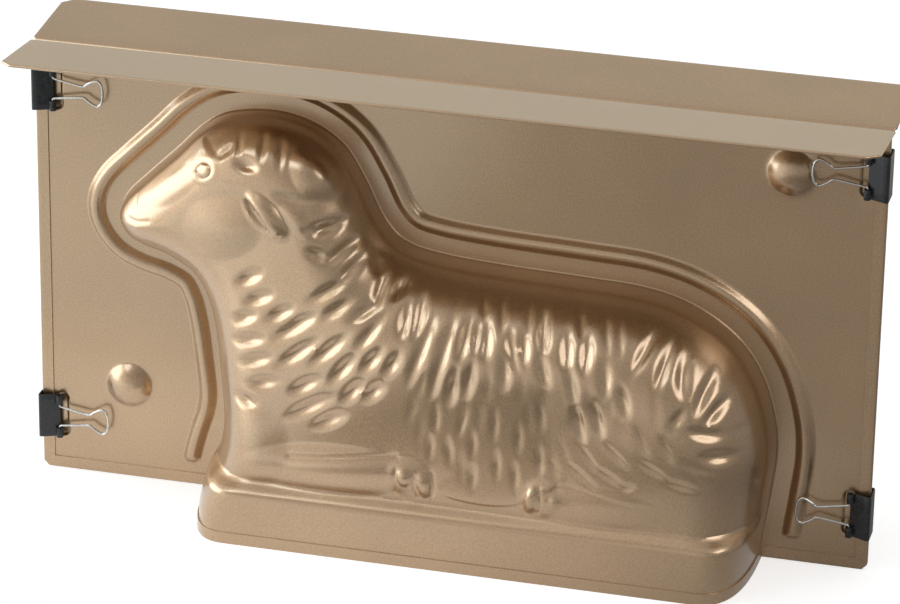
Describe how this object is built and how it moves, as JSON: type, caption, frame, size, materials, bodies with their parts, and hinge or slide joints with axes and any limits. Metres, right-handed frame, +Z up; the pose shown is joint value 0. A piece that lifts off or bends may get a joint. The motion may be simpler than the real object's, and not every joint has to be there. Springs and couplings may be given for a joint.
{
  "type": "lamb cake mould",
  "caption": "Two-part pressed sheet mould for a standing lamb cake, clamped by sprung wire clips, with stand flanges and an open pouring base.",
  "frame": {"origin": "on the plane of the open rim, midway between the plate's side edges and between the two halves", "axes": "+X along the plates, with the lamb looking towards -X; +Y through the plates from the front half to the back half; +Z up, from the open rim to the stand flanges"},
  "size_m": [0.323, 0.0932, 0.1771],
  "materials": {
    "front_coating": "champagne metallic non-stick coating, fine grain",
    "back_coating": "champagne metallic non-stick coating, fine grain",
    "clip_steel": "black enamelled spring steel",
    "clip_wire": "bright nickel-plated wire"
  },
  "bodies": {
    "shells": {"front_half": "front_coating", "back_half": "back_coating"},
    "left_lower_clip": {"left_lower_clip_body": "clip_steel"},
    "left_lower_front_handle": {"left_lower_clip_front_handle": "clip_wire"},
    "left_lower_rear_handle": {"left_lower_clip_rear_handle": "clip_wire"},
    "left_upper_clip": {"left_upper_clip_body": "clip_steel"},
    "left_upper_front_handle": {"left_upper_clip_front_handle": "clip_wire"},
    "left_upper_rear_handle": {"left_upper_clip_rear_handle": "clip_wire"},
    "right_lower_clip": {"right_lower_clip_body": "clip_steel"},
    "right_lower_front_handle": {"right_lower_clip_front_handle": "clip_wire"},
    "right_lower_rear_handle": {"right_lower_clip_rear_handle": "clip_wire"},
    "right_upper_clip": {"right_upper_clip_body": "clip_steel"},
    "right_upper_front_handle": {"right_upper_clip_front_handle": "clip_wire"},
    "right_upper_rear_handle": {"right_upper_clip_rear_handle": "clip_wire"}
  },
  "joints": [
    {"name": "left_lower_clip_pull", "type": "slide", "parent": "shells", "child": "left_lower_clip", "axis": [-1, 0, 0], "range_m": [0, 0.025]},
    {"name": "left_upper_clip_pull", "type": "slide", "parent": "shells", "child": "left_upper_clip", "axis": [-1, 0, 0], "range_m": [0, 0.025]},
    {"name": "right_lower_clip_pull", "type": "slide", "parent": "shells", "child": "right_lower_clip", "axis": [1, 0, 0], "range_m": [0, 0.025]},
    {"name": "right_upper_clip_pull", "type": "slide", "parent": "shells", "child": "right_upper_clip", "axis": [1, 0, 0], "range_m": [0, 0.025]},
    {"name": "left_lower_front_handle_swing", "type": "hinge", "parent": "left_lower_clip", "child": "left_lower_front_handle", "pos_m": [-0.1528, -0.00278, 0.0223], "axis": [0, 0, -1], "range_deg": [0, 150]},
    {"name": "left_lower_rear_handle_swing", "type": "hinge", "parent": "left_lower_clip", "child": "left_lower_rear_handle", "pos_m": [-0.1528, 0.00278, 0.0223], "axis": [0, 0, 1], "range_deg": [0, 150]},
    {"name": "left_upper_front_handle_swing", "type": "hinge", "parent": "left_upper_clip", "child": "left_upper_front_handle", "pos_m": [-0.1528, -0.00278, 0.156], "axis": [0, 0, -1], "range_deg": [0, 150]},
    {"name": "left_upper_rear_handle_swing", "type": "hinge", "parent": "left_upper_clip", "child": "left_upper_rear_handle", "pos_m": [-0.1528, 0.00278, 0.156], "axis": [0, 0, 1], "range_deg": [0, 150]},
    {"name": "right_lower_front_handle_swing", "type": "hinge", "parent": "right_lower_clip", "child": "right_lower_front_handle", "pos_m": [0.1528, -0.00278, 0.0223], "axis": [0, 0, 1], "range_deg": [0, 150]},
    {"name": "right_lower_rear_handle_swing", "type": "hinge", "parent": "right_lower_clip", "child": "right_lower_rear_handle", "pos_m": [0.1528, 0.00278, 0.0223], "axis": [0, 0, -1], "range_deg": [0, 150]},
    {"name": "right_upper_front_handle_swing", "type": "hinge", "parent": "right_upper_clip", "child": "right_upper_front_handle", "pos_m": [0.1528, -0.00278, 0.156], "axis": [0, 0, 1], "range_deg": [0, 150]},
    {"name": "right_upper_rear_handle_swing", "type": "hinge", "parent": "right_upper_clip", "child": "right_upper_rear_handle", "pos_m": [0.1528, 0.00278, 0.156], "axis": [0, 0, -1], "range_deg": [0, 150]}
  ]
}
